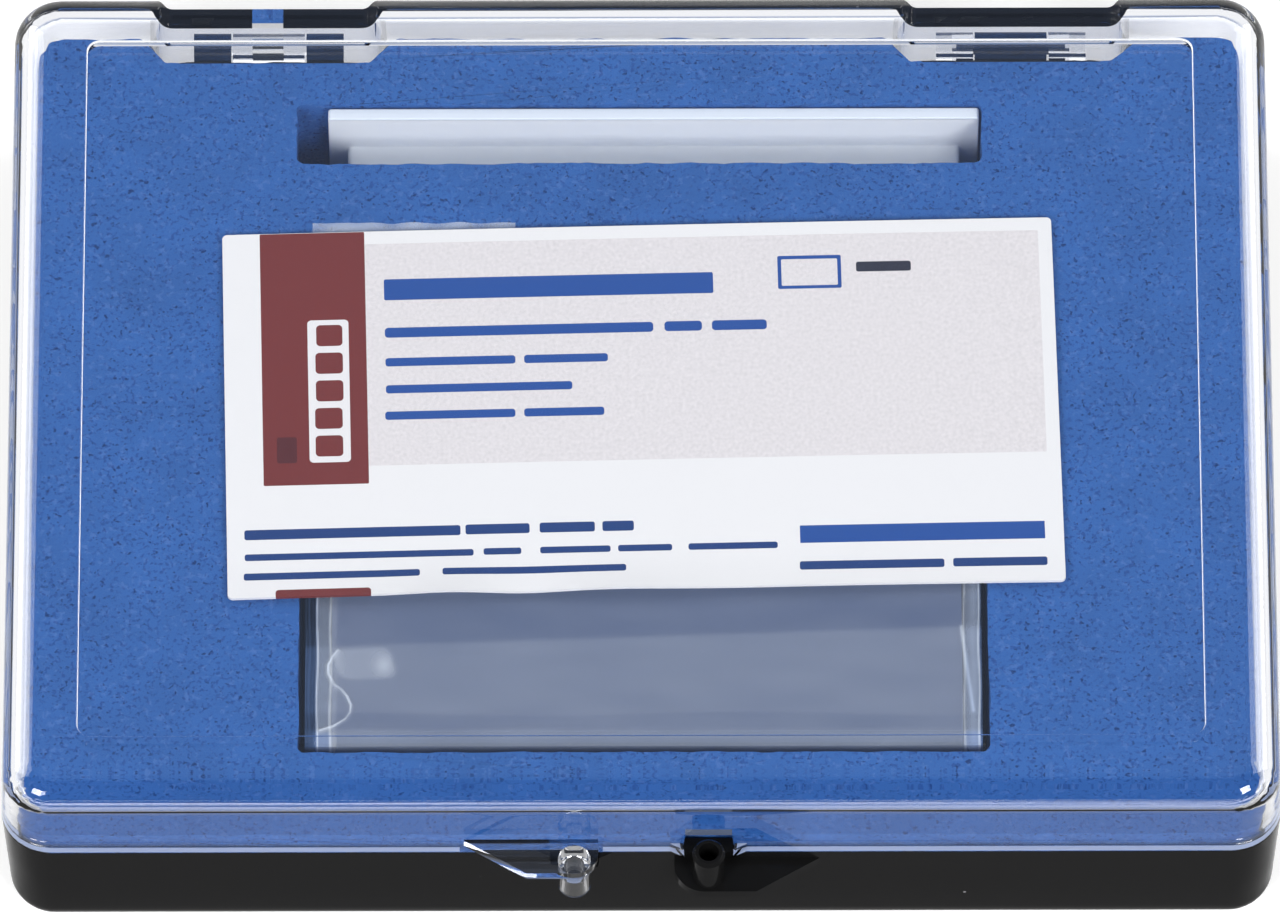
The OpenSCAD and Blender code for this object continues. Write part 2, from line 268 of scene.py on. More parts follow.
def add(tree, kind, label="", **values):
    """A node with plain settings; keys that are inputs are set on its sockets."""
    node = tree.nodes.new(kind)
    node.label = label
    for key, value in values.items():
        if hasattr(node, key):
            setattr(node, key, value)
        else:
            node.inputs[key].default_value = value
    return node


def place_group(tree, group, **values):
    """A node that uses a group, with plain values on its inputs."""
    node = tree.nodes.new("ShaderNodeGroup")
    node.node_tree = group
    for key, value in values.items():
        node.inputs[key].default_value = value
    return node


def new_group(name, sockets):
    """A node group with named sockets: (name, in/out, type, default)."""
    group = bpy.data.node_groups.new(name, "ShaderNodeTree")
    for label, way, kind, default in sockets:
        made = group.interface.new_socket(
            label, in_out=way, socket_type="NodeSocket" + kind)
        if default is not None:
            made.default_value = default
    return group, group.nodes.new("NodeGroupInput"), group.nodes.new("NodeGroupOutput")


def object_coordinates(tree):
    """Where a point lies on its own object."""
    return tree.nodes.new("ShaderNodeTexCoord").outputs["Object"]


def math_node(tree, operation, *values, clamp=False):
    """One step of arithmetic on sockets and plain numbers."""
    node = tree.nodes.new("ShaderNodeMath")
    node.operation = operation
    node.use_clamp = clamp
    for socket, value in zip(node.inputs, values):
        if isinstance(value, (int, float)):
            socket.default_value = value
        else:
            tree.links.new(value, socket)
    return node.outputs[0]


def ramp(tree, label, value, span, levels):
    """Goes evenly from one level to the other while the value crosses a span."""
    node = add(tree, "ShaderNodeMapRange", label)
    for socket, number in zip(node.inputs[1:5], (*span, *levels)):
        socket.default_value = number
    tree.links.new(value, node.inputs[0])
    return node.outputs[0]


def looked_along(tree, path):
    """One for rays from the camera, off gloss and through glass."""
    return math_node(tree, "MAXIMUM", path.outputs["Is Camera Ray"],
                     math_node(tree, "MAXIMUM", path.outputs["Is Glossy Ray"],
                               path.outputs["Is Transmission Ray"]))


def mix_colour(tree, factor, first, second):
    """Mixes two colours or colour sockets by a factor socket or number."""
    node = tree.nodes.new("ShaderNodeMix")
    node.data_type = "RGBA"
    for socket, value in ((node.inputs[0], factor), (node.inputs[6], first),
                          (node.inputs[7], second)):
        if isinstance(value, bpy.types.NodeSocket):
            tree.links.new(value, socket)
        elif isinstance(value, (int, float)):
            socket.default_value = value
        else:
            socket.default_value = (*value, 1.0)
    return node.outputs[2]


def let_light_through(mat, tint):
    """Lamps and soft bounce light reach what lies behind this clear material."""
    tree = mat.node_tree
    shader, output = tree.nodes["Principled BSDF"], tree.nodes["Material Output"]
    path = tree.nodes.new("ShaderNodeLightPath")
    clear = tree.nodes.new("ShaderNodeBsdfTransparent")
    clear.inputs["Color"].default_value = (*tint, 1.0)
    mix = tree.nodes.new("ShaderNodeMixShader")
    soft = math_node(tree, "MAXIMUM", path.outputs["Is Shadow Ray"],
                     path.outputs["Is Diffuse Ray"])
    tree.links.new(soft, mix.inputs[0])
    tree.links.new(shader.outputs[0], mix.inputs[1])
    tree.links.new(clear.outputs[0], mix.inputs[2])
    tree.links.new(mix.outputs[0], output.inputs["Surface"])


# ---------------------------------------------------------------- shared effects


def dust_group():
    """Sparse tiny specks and faint smears for glossy surfaces."""
    group, given, out = new_group("dust", [
        ("Vector", "INPUT", "Vector", None),
        ("Speck Size", "INPUT", "Float", 0.0012),
        ("Amount", "INPUT", "Float", 0.1),
        ("Specks", "OUTPUT", "Float", None),
        ("Smears", "OUTPUT", "Float", None),
    ])
    inverse = math_node(group, "DIVIDE", 1.0, given.outputs["Speck Size"])
    cells = add(group, "ShaderNodeTexVoronoi", "speck cells", feature="F1")
    group.links.new(given.outputs["Vector"], cells.inputs["Vector"])
    group.links.new(inverse, cells.inputs["Scale"])
    near = math_node(group, "LESS_THAN", cells.outputs["Distance"], 0.08)
    chance = group.nodes.new("ShaderNodeSeparateColor")
    group.links.new(cells.outputs["Color"], chance.inputs[0])
    chosen = math_node(group, "LESS_THAN", chance.outputs[0], given.outputs["Amount"])
    group.links.new(math_node(group, "MULTIPLY", near, chosen), out.inputs["Specks"])
    smear = add(group, "ShaderNodeTexNoise", "smears", Scale=120.0, Detail=3.0)
    group.links.new(given.outputs["Vector"], smear.inputs["Vector"])
    group.links.new(smear.outputs["Fac"], out.inputs["Smears"])
    return group


def patch_group():
    """Mask of one upright rectangle with round corners, seen from above."""
    group, given, out = new_group("print_and_shade_patch", [
        ("Vector", "INPUT", "Vector", None),
        ("Left", "INPUT", "Float", 0.0),
        ("Right", "INPUT", "Float", 1.0),
        ("Low", "INPUT", "Float", 0.0),
        ("High", "INPUT", "Float", 1.0),
        ("Corner", "INPUT", "Float", 0.0001),
        ("Mask", "OUTPUT", "Float", None),
    ])
    split = group.nodes.new("ShaderNodeSeparateXYZ")
    group.links.new(given.outputs["Vector"], split.inputs[0])
    beyond = []
    for axis, low, high in ((0, "Left", "Right"), (1, "Low", "High")):
        lower, upper = given.outputs[low], given.outputs[high]
        middle = math_node(group, "MULTIPLY", math_node(group, "ADD", lower, upper), 0.5)
        half = math_node(group, "MULTIPLY",
                         math_node(group, "SUBTRACT", upper, lower), 0.5)
        off = math_node(group, "ABSOLUTE",
                        math_node(group, "SUBTRACT", split.outputs[axis], middle))
        inner = math_node(group, "SUBTRACT", half, given.outputs["Corner"])
        past = math_node(group, "MAXIMUM", math_node(group, "SUBTRACT", off, inner), 0.0)
        beyond.append(math_node(group, "POWER", past, 2.0))
    reach = math_node(group, "SQRT", math_node(group, "ADD", *beyond))
    inside = math_node(group, "LESS_THAN", reach, given.outputs["Corner"])
    group.links.new(inside, out.inputs["Mask"])
    return group


SHARED = {}


def shared(name):
    """A node group by name, made once."""
    if name not in SHARED:
        SHARED[name] = {"dust": dust_group, "print_and_shade_patch": patch_group}[name]()
    return SHARED[name]


# ---------------------------------------------------------------- materials


def clear_case_material():
    """Clear plastic of the lid."""
    mat = material("clear_case", settings().clear_tint, 0.0, IOR=1.57,
                   Transmission_Weight=1.0)
    let_light_through(mat, (0.93, 0.935, 0.94))
    return mat


def painted_foot_light_material():
    """Painted light on the lid's foot: an opaque pale colour stands in for the light that
    the clear walls gather there.
    """
    return material("lid_foot_painted_light", (0.30, 0.36, 0.52), 0.5, Specular_IOR_Level=0.3)


def tongue_root_material():
    """Painted shade: a grey tint on the clear tongue's root, which makes it darker than
    the foot beside it.
    """
    return material("tongue_root", (0.30, 0.31, 0.34), 0.0, IOR=1.57,
                    Transmission_Weight=1.0)


def black_case_material():
    """Glossy black plastic with a few specks and faint smears."""
    colour = settings().shell_colour
    mat = material("black_case", colour, 0.16, IOR=1.45, Specular_IOR_Level=0.06)
    tree = mat.node_tree
    marks = place_group(tree, shared("dust"), **{"Speck Size": 0.0016, "Amount": 0.06})
    tree.links.new(object_coordinates(tree), marks.inputs["Vector"])
    shader = tree.nodes["Principled BSDF"]
    tone = mix_colour(tree, marks.outputs["Specks"], colour, (0.16, 0.16, 0.17))
    tree.links.new(tone, shader.inputs["Base Color"])
    rough = math_node(tree, "MULTIPLY_ADD", marks.outputs["Smears"], 0.16, 0.09)
    tree.links.new(rough, shader.inputs["Roughness"])
    return mat


def foam_material():
    """Open cells: short dark and pale marks, a few deep pores and faint clouds, and
    painted shade behind the hinge walls and along the front.
    """
    colour = Vector(settings().foam_colour)
    mat = material("foam", colour, 0.95, Specular_IOR_Level=0.15)
    tree = mat.node_tree
    shader = tree.nodes["Principled BSDF"]
    where = object_coordinates(tree)

    def marks(scale, detail, start, gain, shift=0.0):
        """Where a noise field goes below start, rising by gain."""
        moved = add(tree, "ShaderNodeMapping", "own part of the noise")
        moved.inputs["Location"].default_value = (shift, shift, 0.0)
        tree.links.new(where, moved.inputs["Vector"])
        field = add(tree, "ShaderNodeTexNoise", "marks", Scale=scale, Detail=detail,
                    Roughness=0.55, Distortion=0.25)
        tree.links.new(moved.outputs[0], field.inputs["Vector"])
        below = math_node(tree, "SUBTRACT", start, field.outputs["Fac"])
        return math_node(tree, "MULTIPLY", below, gain, clamp=True)

    crowd = marks(scale=330.0, detail=2.0, start=0.75, gain=4.0, shift=0.3)
    dark = marks(scale=2700.0, detail=2.0, start=0.452, gain=12.0)
    dark = math_node(tree, "MULTIPLY", dark, crowd)
    pale = marks(scale=1900.0, detail=2.0, start=0.44, gain=9.0, shift=0.1)
    deep = marks(scale=2300.0, detail=2.0, start=0.372, gain=22.0, shift=0.2)
    deep = math_node(tree, "MULTIPLY", deep, crowd)
    cloud = marks(scale=190.0, detail=4.0, start=0.75, gain=2.0, shift=0.4)
    tone = mix_colour(tree, cloud, tuple(colour * 0.88), tuple(colour * 1.12))
    layers = [(pale, 0.5, (colour.x + 0.045, colour.y * 1.5, colour.z * 1.25)),
              (dark, 0.65, (colour.x * 0.30, colour.y * 0.42, colour.z * 0.60)),
              (deep, 0.85, (0.002, 0.022, 0.110))]
    # painted shade: dark patches behind both hinge walls and a darker strip along the
    # front
    for left, right, low, high, amount, shade_tone in FOAM_PAINTED_SHADE:
        shade = place_group(tree, shared("print_and_shade_patch"), Left=left * MM,
                            Right=right * MM, Low=low * MM, High=high * MM,
                            Corner=0.2 * MM)
        tree.links.new(where, shade.inputs["Vector"])
        layers.append((shade.outputs[0], amount, shade_tone))
    for mask, amount, layer_tone in layers:
        tone = mix_colour(tree, math_node(tree, "MULTIPLY", mask, amount), tone,
                          layer_tone)
    tree.links.new(tone, shader.inputs["Base Color"])
    height = math_node(tree, "SUBTRACT", pale, math_node(tree, "MAXIMUM", dark, deep))
    bump = add(tree, "ShaderNodeBump", "pore relief", Strength=0.3, Distance=0.0001)
    tree.links.new(height, bump.inputs["Height"])
    tree.links.new(bump.outputs[0], shader.inputs["Normal"])
    return mat


def window_material():
    """Polished glass of the cell's ends."""
    mat = material("window_glass", (0.75, 0.86, 0.98), 0.0, IOR=1.50,
                   Transmission_Weight=1.0)
    let_light_through(mat, (0.9, 0.93, 0.94))
    return mat


def frosted_material():
    """Ground glass of the cell's sides and floor."""
    mat = material("ground_glass", settings().frost_colour, 0.42, IOR=1.46)
    tree = mat.node_tree
    grain = add(tree, "ShaderNodeTexNoise", "ground grain", Scale=5200.0, Detail=2.0)
    tree.links.new(object_coordinates(tree), grain.inputs["Vector"])
    bump = add(tree, "ShaderNodeBump", "ground relief", Strength=0.15, Distance=0.00003)
    tree.links.new(grain.outputs["Fac"], bump.inputs["Height"])
    tree.links.new(bump.outputs[0], tree.nodes["Principled BSDF"].inputs["Normal"])
    return mat


def stopper_material():
    """Waxy white plastic, with painted shade that makes the plate's upper edge darker and
    bluer.
    """
    mat = material("stopper_plastic", (0.80, 0.84, 0.89), 0.42, Specular_IOR_Level=0.35,
                   Subsurface_Weight=0.25, Subsurface_Scale=0.003,
                   Subsurface_Radius=(1.0, 1.0, 1.0))
    tree = mat.node_tree
    haze = add(tree, "ShaderNodeTexNoise", "waxy haze", Scale=420.0, Detail=3.0)
    tree.links.new(object_coordinates(tree), haze.inputs["Vector"])
    split = tree.nodes.new("ShaderNodeSeparateXYZ")
    tree.links.new(object_coordinates(tree), split.inputs[0])
    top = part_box("stopper_plate")[1].z
    # painted shade: the plate's upper edge is darker and bluer than its front face
    edge = ramp(tree, "painted shade along upper edge", split.outputs[2],
                (top - 0.3 * MM, top - 0.03 * MM), (0.0, 1.0))
    tone = mix_colour(tree, haze.outputs["Fac"], (0.93, 0.96, 0.98), (0.88, 0.92, 0.96))
    tone = mix_colour(tree, edge, tone, (0.70, 0.77, 0.87))
    tree.links.new(tone, tree.nodes["Principled BSDF"].inputs["Base Color"])
    return mat


def film_material():
    """Clear film whose creases and folds show as pale lines of painted highlight, carried
    with the film's veil.
    """
    pale = (0.75, 0.82, 0.93)
    mat = material("film", pale, 0.14, IOR=1.45, Specular_IOR_Level=0.5)
    tree = mat.node_tree
    shader = tree.nodes["Principled BSDF"]
    veil_and_highlight = add(tree, "ShaderNodeAttribute", attribute_name="veil_and_highlight")
    tree.links.new(veil_and_highlight.outputs["Fac"], shader.inputs["Alpha"])
    blue = add(tree, "ShaderNodeAttribute", attribute_name="blue")
    tone = mix_colour(tree, blue.outputs["Fac"], pale, (0.22, 0.40, 0.85))
    tree.links.new(tone, shader.inputs["Base Color"])
    return mat


# The card's print: ink, left, right, low, high and corner radius, in
# millimetres from its middle
CARD_PRINT = (
    ("field", -21.9, 32.2, -4.88, 15.58, 0.10),
    ("block", -30.3, -21.9, -6.50, 16.72, 0.10),
    ("white", -26.6, -23.3, -4.47, 8.64, 0.35),
    ("block", -25.9, -23.8, 6.23, 8.17, 0.35),
    ("block", -26.0, -23.8, 3.68, 5.62, 0.35),
    ("block", -26.0, -23.8, 1.14, 3.07, 0.35),
    ("block", -26.1, -23.9, -1.39, 0.53, 0.35),
    ("block", -26.1, -23.9, -3.92, -2.00, 0.35),
    ("seal", -29.2, -27.6, -4.46, -2.08, 0.20),
    ("rule", -20.4, 6.0, 10.33, 12.27, 0.15),
    ("rule", 11.2, 16.3, 10.57, 13.63, 0.15),
    ("field", 11.5, 16.0, 10.86, 13.31, 0.10),
    ("black", 17.5, 21.9, 12.04, 12.96, 0.20),
    ("rule", -20.4, 1.1, 6.86, 7.78, 0.30),
    ("rule", 2.0, 5.0, 6.88, 7.79, 0.30),
    ("rule", 5.8, 10.2, 6.88, 7.79, 0.30),
    ("rule", -20.4, -10.0, 4.21, 4.98, 0.25),
    ("rule", -9.3, -2.6, 4.22, 4.98, 0.25),
    ("rule", -20.4, -5.5, 1.72, 2.48, 0.25),
    ("rule", -20.5, -10.1, -0.71, 0.05, 0.25),
    ("rule", -9.4, -3.0, -0.70, 0.06, 0.25),
    ("dark", -31.9, -14.7, -11.41, -10.50, 0.20),
    ("dark", -14.3, -9.2, -11.37, -10.47, 0.20),
    ("dark", -8.4, -4.0, -11.36, -10.45, 0.20),
    ("dark", -3.4, -0.9, -11.35, -10.44, 0.20),
    ("dark", -31.9, -13.7, -13.32, -12.71, 0.20),
    ("dark", -12.9, -9.9, -13.27, -12.67, 0.20),
    ("dark", -8.4, -2.8, -13.26, -12.66, 0.20),
    ("dark", -2.2, 2.1, -13.25, -12.65, 0.20),
    ("dark", 3.4, 10.5, -13.24, -12.64, 0.20),
    ("dark", -32.0, -18.0, -15.12, -14.47, 0.20),
    ("dark", -16.2, -1.6, -15.09, -14.44, 0.20),
    ("rule", 12.3, 31.8, -12.82, -11.22, 0.05),
    ("dark", 12.2, 23.7, -15.32, -14.52, 0.20),
    ("dark", 24.4, 31.9, -15.29, -14.49, 0.20),
    ("block", -29.5, -21.9, -16.98, -16.08, 0.30),
)


def card_material():
    """White card with a block, a speckled field, rules and a bar."""
    own = settings()
    mat = material("printed_card", own.card_colour, 0.45, Specular_IOR_Level=0.3)
    tree = mat.node_tree
    shader = tree.nodes["Principled BSDF"]
    low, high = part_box("label_card")
    middle = (low + high) / 2
    turn = add(tree, "ShaderNodeMapping", "card's own axes", vector_type="TEXTURE")
    turn.inputs["Location"].default_value = (middle.x, middle.y, 0.0)
    turn.inputs["Rotation"].default_value = (0.0, 0.0, CARD_TURN)
    turn.inputs["Scale"].default_value = (MM, MM, MM)
    tree.links.new(object_coordinates(tree), turn.inputs["Vector"])
    tone = tuple(own.card_colour)
    grain = add(tree, "ShaderNodeTexNoise", "field speckle", Scale=3.4, Detail=3.0)
    tree.links.new(turn.outputs[0], grain.inputs["Vector"])
    field = mix_colour(tree, grain.outputs["Fac"], (0.58, 0.555, 0.56),
                       (0.84, 0.80, 0.81))
    rule, block = Vector(own.rule_colour), Vector(own.block_colour)
    inks = {"block": tuple(block), "seal": tuple(block * 0.5),
            "rule": tuple(rule), "dark": tuple(rule * 0.55),
            "black": (0.02, 0.02, 0.03), "white": (0.78, 0.77, 0.78), "field": field}
    for ink, left, right, bottom, top, corner in CARD_PRINT:
        patch = place_group(tree, shared("print_and_shade_patch"), Left=left, Right=right,
                            Low=bottom, High=top, Corner=corner)
        tree.links.new(turn.outputs[0], patch.inputs["Vector"])
        tone = mix_colour(tree, patch.outputs[0], tone, inks[ink])
    tree.links.new(tone, shader.inputs["Base Color"])
    return mat


# ---------------------------------------------------------------- operators


def shape_lid(bm):
    """Rounds the sunk panel's edge, and marks the foot for painted light and the clear
    tongue's root for painted shade.
    """
    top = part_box("case_lid")[1]
    round_off(bm, sharp_edges_at(bm, top.z), PANEL_FILLET)
    for edge_x in TONGUE_SPAN:
        cut_across(bm, (edge_x, 0.0, 0.0), (1.0, 0.0, 0.0))
    mark = bm.faces.layers.int.new("foot")
    foot = []
    for face in bm.faces:
        middle = face.calc_center_median()
        level = abs(middle.z - top.z + LID_HEIGHT) < SAME_PLANE
        if face.normal.z < -0.9 and level and middle.y < 30 * MM:
            foot.append(face)
    bmesh.ops.inset_region(bm, faces=foot, thickness=FOOT_HEM, use_even_offset=True)
    for face in foot:
        middle = face.calc_center_median()
        root = middle.y < -30 * MM and TONGUE_SPAN[0] < middle.x < TONGUE_SPAN[1]
        face[mark] = ROOT_SLOT if root else FOOT_SLOT


class CUVETTE_OT_case(bpy.types.Operator):
    """Dress the clear lid and the opaque lower half."""

    bl_idname = "cuvette.case"
    bl_label = "Case shells"

    def execute(self, context):
        bm = merged_copy("case_lid")
        shape_lid(bm)
        lid = piece_from(bm, "clear_lid", LID, "clear_shell", "case_lid")
        dress(lid, clear_case_material(), painted_foot_light_material(), tongue_root_material())
        marks = lid.data.attributes["foot"].data
        for face, mark in zip(lid.data.polygons, marks):
            face.material_index = mark.value
        true_normals(lid)

        base = piece_from(merged_copy("case_base"), "black_case", LOWER, "black_shell",
                          "case_base")
        dress(base, black_case_material())
        true_normals(base)
        return {"FINISHED"}


class CUVETTE_OT_foam(bpy.types.Operator):
    """Make the foam block with soft cut edges."""

    bl_idname = "cuvette.foam"
    bl_label = "Foam insert"

    def execute(self, context):
        bm = merged_copy("foam_insert")
        low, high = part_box("foam_insert")
        cut_finely(bm, sharp_edges_at(bm, high.z), 0.7 * MM)
        round_off(bm, sharp_edges_at(bm, high.z), settings().foam_edge)
        bmesh.ops.triangulate(bm, faces=bm.faces, quad_method="BEAUTY",
                              ngon_method="BEAUTY")
        # a slow wave and a fine grain unsettle the cut edges
        upper, margin, bulge = high.z - 1.5 * MM, 0.6 * MM, 0.08 * MM
        for vertex in bm.verts:
            place = vertex.co
            if place.z < upper:
                continue
            wave = Vector((noise.noise(place * 420.0),
                           noise.noise(place * 430.0 + Vector((9, 4, 1)))))
            grain = Vector((noise.noise(place * 1900.0),
                            noise.noise(place * 1950.0 + Vector((2, 7, 5)))))
            place.x += (wave.x * 0.12 + grain.x * 0.09) * MM
            place.y += (wave.y * 0.12 + grain.y * 0.09) * MM
            # the left and right ends bulge a little
            if place.x > high.x - margin or place.x < low.x + margin:
                place.x += math.copysign(bulge, place.x)
        # the bag's sealed end presses the front of its slot outwards
        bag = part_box("film_sleeve")
        near = 1.2 * MM
        for vertex in bm.verts:
            place = vertex.co
            if (low.y + 4 * MM < place.y < bag[0].y + near
                    and bag[0].x - near < place.x < bag[1].x + near):
                place.y -= SEAL_REACH
        foam = piece_from(bm, "foam_block", LOWER, "foam", "foam_insert")
        dress(foam, foam_material())
        true_normals(foam)
        return {"FINISHED"}


class CUVETTE_OT_cell(bpy.types.Operator):
    """Give the cell its polished windows and ground sides."""

    bl_idname = "cuvette.cell"
    bl_label = "Glass cell"

    def execute(self, context):
        window, ground = window_material(), frosted_material()
        for node in ("cell_window_left", "cell_window_right"):
            dress(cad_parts[node], window)
        for node in ("cell_side_lower", "cell_side_upper", "cell_floor"):
            dress(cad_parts[node], ground)
        return {"FINISHED"}


class CUVETTE_OT_stopper(bpy.types.Operator):
    """Make the white stopper plate with eased edges."""

    bl_idname = "cuvette.stopper"
    bl_label = "Stopper plate"

    def execute(self, context):
        bm = merged_copy("stopper_plate")
        bmesh.ops.dissolve_limit(bm, angle_limit=math.radians(2), verts=bm.verts,
                                 edges=bm.edges)
        piece = piece_from(bm, "stopper", LOWER, "white_stopper", "stopper_plate")
        dress(piece, stopper_material())
        soft = piece.modifiers.new("eased_edges", "BEVEL")
        soft.width, soft.segments = 0.4 * MM, 5
        soft.limit_method, soft.angle_limit = "ANGLE", math.radians(40)
        bake_modifiers(piece)
        true_normals(piece)
        return {"FINISHED"}


# Marks on the bag, in millimetres: about where the ground glass and the cell end in x,
# the dark band and the seal in y, and a streak of painted highlight
GROUND_ENDS = (-24.62, 25.62)
CELL_ENDS = (-25.75, 26.85)
DARK_BAND = (-27.5, -26.15)
SEAL = -27.75
HIGHLIGHT_STREAK = ((25.4, -18.3), (26.3, -25.9))
# Part of the bag that holds the crease and the puffed patch
CREASED_X, CREASED_Y = -18.5, -19.0
CREASE = ((-24.05, -20.35), (-24.45, -20.9), (-24.80, -21.7), (-24.78, -22.5),
          (-24.34, -23.43), (-23.75, -23.9), (-23.30, -24.5), (-22.98, -25.33),
          (-23.05, -26.0), (-23.45, -26.6), (-24.4, -27.25), (-25.42, -27.6))
# Straight folds, each with a line of painted highlight: x, height of the line's paleness,
# half width in millimetres
FOLDS = ((-26.6, 0.12, 0.05), (-26.3, 0.10, 0.10), (-26.0, 0.07, 0.05),
         (-25.68, 0.55, 0.07), (-24.62, 0.42, 0.09), (-24.3, 0.12, 0.25),
         (25.62, 0.30, 0.08), (26.35, 0.12, 0.3), (26.80, 0.50, 0.08), (27.2, 0.12, 0.06))


def spread(distance, width):
    """A bell that is one at no distance."""
    return math.exp(-(distance / width) ** 2)


def step(value, width):
    """A soft step from zero to one where the value passes zero."""
    return 1.0 / (1.0 + math.exp(-max(-30.0, min(30.0, value / width))))


def to_line(x, y, points):
    """Distance from a point to a chain of straight lines."""
    best = 1e9
    for (x0, y0), (x1, y1) in zip(points, points[1:]):
        dx, dy = x1 - x0, y1 - y0
        t = max(0.0, min(1.0, ((x - x0) * dx + (y - y0) * dy) / (dx * dx + dy * dy)))
        best = min(best, math.hypot(x - x0 - t * dx, y - y0 - t * dy))
    return best


def crease_look(x, y):
    """Added paleness, share of blue that is left, and added lift, at the crease and the
    puffed patch beside it; the paleness along the crease and at the patch's right end is
    painted highlight."""
    near = to_line(x, y, CREASE)
    # painted highlight along the crease, brighter where it glints
    glint = 0.35 + 0.65 * max(spread(y + 22.0, 0.9), spread(y + 24.9, 0.9),
                              0.7 * spread(y + 27.2, 0.5))
    veil_and_highlight = 0.60 * glint * spread(near, 0.07) + 0.10 * spread(near, 0.20)
    across = abs(x + 21.9 + 0.25 * (y + 21.5)) - 1.45
    along = abs(y + 21.55 - 0.05 * (x + 22.0)) - 0.55
    patch = step(0.85 - math.hypot(max(across, 0.0), max(along, 0.0)), 0.10)
    # painted highlight towards the puffed patch's right end
    veil_and_highlight += patch * (0.13 + 0.20 * spread(math.hypot(x + 20.4, (y + 21.7) * 0.8), 0.7))
    veil_and_highlight += patch * 0.10 * spread(x + 24.2, 0.6)
    return veil_and_highlight, 1.0 - 0.8 * spread(near, 0.25), 0.12 * spread(near, 0.16)


def film_look(x, y):
    """Paleness (the film's veil with painted highlights), blue tinge and lift of the
    bag's upper side at one place.
    """
    glass = step(GROUND_ENDS[0] - x, 0.08) + step(x - GROUND_ENDS[1], 0.08)
    slack = step(CELL_ENDS[0] - x, 0.04) + step(x - CELL_ENDS[1], 0.04)
    seal = step(SEAL - y, 0.06)
    # behind this slanting line the film is left darker: a painted shadow of the card
    card_shadow_edge = -19.95 + (x + 24.0) * 0.033
    band = (step(DARK_BAND[1] - y + 0.15 * math.sin(x * 0.2), 0.08)
            * step(y - DARK_BAND[0], 0.06))
    blue = 0.35 * glass + 0.65 * slack + 0.25 * seal
    veil_and_highlight = 0.05 + 0.10 * step(card_shadow_edge - y, 0.12)
    veil_and_highlight += 0.03 * noise.noise(Vector((x * 0.16, y * 0.5, 3.0)))
    veil_and_highlight += 0.16 * glass - 0.20 * slack - 0.045 * band
    veil_and_highlight += 0.10 * seal * step(x + 26.0, 0.1)
    lift = 0.02 * noise.noise(Vector((x * 0.3, y * 0.6, 0.0)))
    for at, pale, width in FOLDS:
        line = spread(x - at - 0.05 * math.sin(y * 0.8 + at), width)
        if abs(at) < 26.0 or at > 26.7:
            blue *= 1.0 - line * 0.9
        # each fold's pale line is a painted highlight
        veil_and_highlight += pale * line * (0.75 + 0.25 * noise.noise(Vector((at, y * 0.9, 1.0))))
        lift += 0.06 * pale * line
    if x < CREASED_X and y < CREASED_Y:
        paler, less_blue, higher = crease_look(x, y)
        veil_and_highlight += paler
        blue *= less_blue
        lift += higher
    # a painted highlight along the slanting streak
    veil_and_highlight += 0.28 * spread(to_line(x, y, HIGHLIGHT_STREAK), 0.14)
    return max(0.0, min(0.92, veil_and_highlight)), max(0.0, min(1.0, blue)), lift


def run_on(places, end, count):
    """Adds evenly spaced places up to the end."""
    start = places[-1]
    places += [start + (end - start) * i / count for i in range(1, count + 1)]


def add_tail(bm, veil_and_highlight, left, rear, height):
    """Adds the torn tail of the film, which lies on the foam behind the bag."""
    flap = bmesh.ops.create_grid(bm, x_segments=60, y_segments=6, size=0.5)["verts"]
    for vertex in flap:
        across, along = vertex.co.x + 0.5, vertex.co.y + 0.5
        wave = noise.noise(Vector((across * 9.0, along, 2.0)))
        length = (1.35 + 0.12 * wave) * MM
        vertex.co = (left + 16.3 * MM * across, rear + length * along,
                     height + 0.02 * MM * wave)
        vertex[veil_and_highlight] = 0.22 + 0.12 * wave
    faces = {face for vertex in flap for face in vertex.link_faces}
    bmesh.ops.solidify(bm, geom=list(faces), thickness=0.05 * MM)


class CUVETTE_OT_film(bpy.types.Operator):
    """Make the creased film bag round the cell, with its tucked tail."""

    bl_idname = "cuvette.film"
    bl_label = "Film bag"

    def execute(self, context):
        low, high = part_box("film_sleeve")
        rear = high.y - 1.3 * MM
        # lines lie close together where the creases are
        columns = [low.x + 0.1 * MM * i for i in range(76)]
        run_on(columns, 25.0 * MM, 60)
        run_on(columns, high.x, 20)
        first = low.y - SEAL_REACH + 0.25 * MM
        rows = [first + 0.12 * MM * i for i in range(111)]
        run_on(rows, rear, 40)

        bm = bmesh.new()
        veil_and_highlight = bm.verts.layers.float.new("veil_and_highlight")
        blue = bm.verts.layers.float.new("blue")
        bmesh.ops.create_grid(bm, x_segments=len(columns) - 1, y_segments=len(rows) - 1,
                              size=1.0)
        for vertex in bm.verts:
            i = round((vertex.co.x + 1.0) / 2.0 * (len(columns) - 1))
            j = round((vertex.co.y + 1.0) / 2.0 * (len(rows) - 1))
            pale, tinge, lift = film_look(columns[i] / MM, rows[j] / MM)
            drop = 0.5 * MM * step((rows[0] + 0.5 * MM - rows[j]) / MM, 0.12)
            vertex.co = (columns[i], rows[j], BAG_TOP + lift * MM - drop)
            vertex[veil_and_highlight], vertex[blue] = pale, tinge
        sides = bmesh.ops.extrude_edge_only(
            bm, edges=[edge for edge in bm.edges if len(edge.link_faces) == 1])["geom"]
        for vertex in [v for v in sides if isinstance(v, bmesh.types.BMVert)]:
            vertex.co.z = low.z
            vertex[veil_and_highlight], vertex[blue] = 0.04, 0.6
        bmesh.ops.holes_fill(bm, edges=[e for e in bm.edges if len(e.link_faces) == 1])
        add_tail(bm, veil_and_highlight, low.x + 0.3 * MM, rear - 0.1 * MM, high.z - 0.06 * MM)
        bmesh.ops.recalc_face_normals(bm, faces=bm.faces)
        bag = piece_from(bm, "film_bag", LOWER, "film", "film_sleeve")
        dress(bag, film_material())
        true_normals(bag)
        return {"FINISHED"}


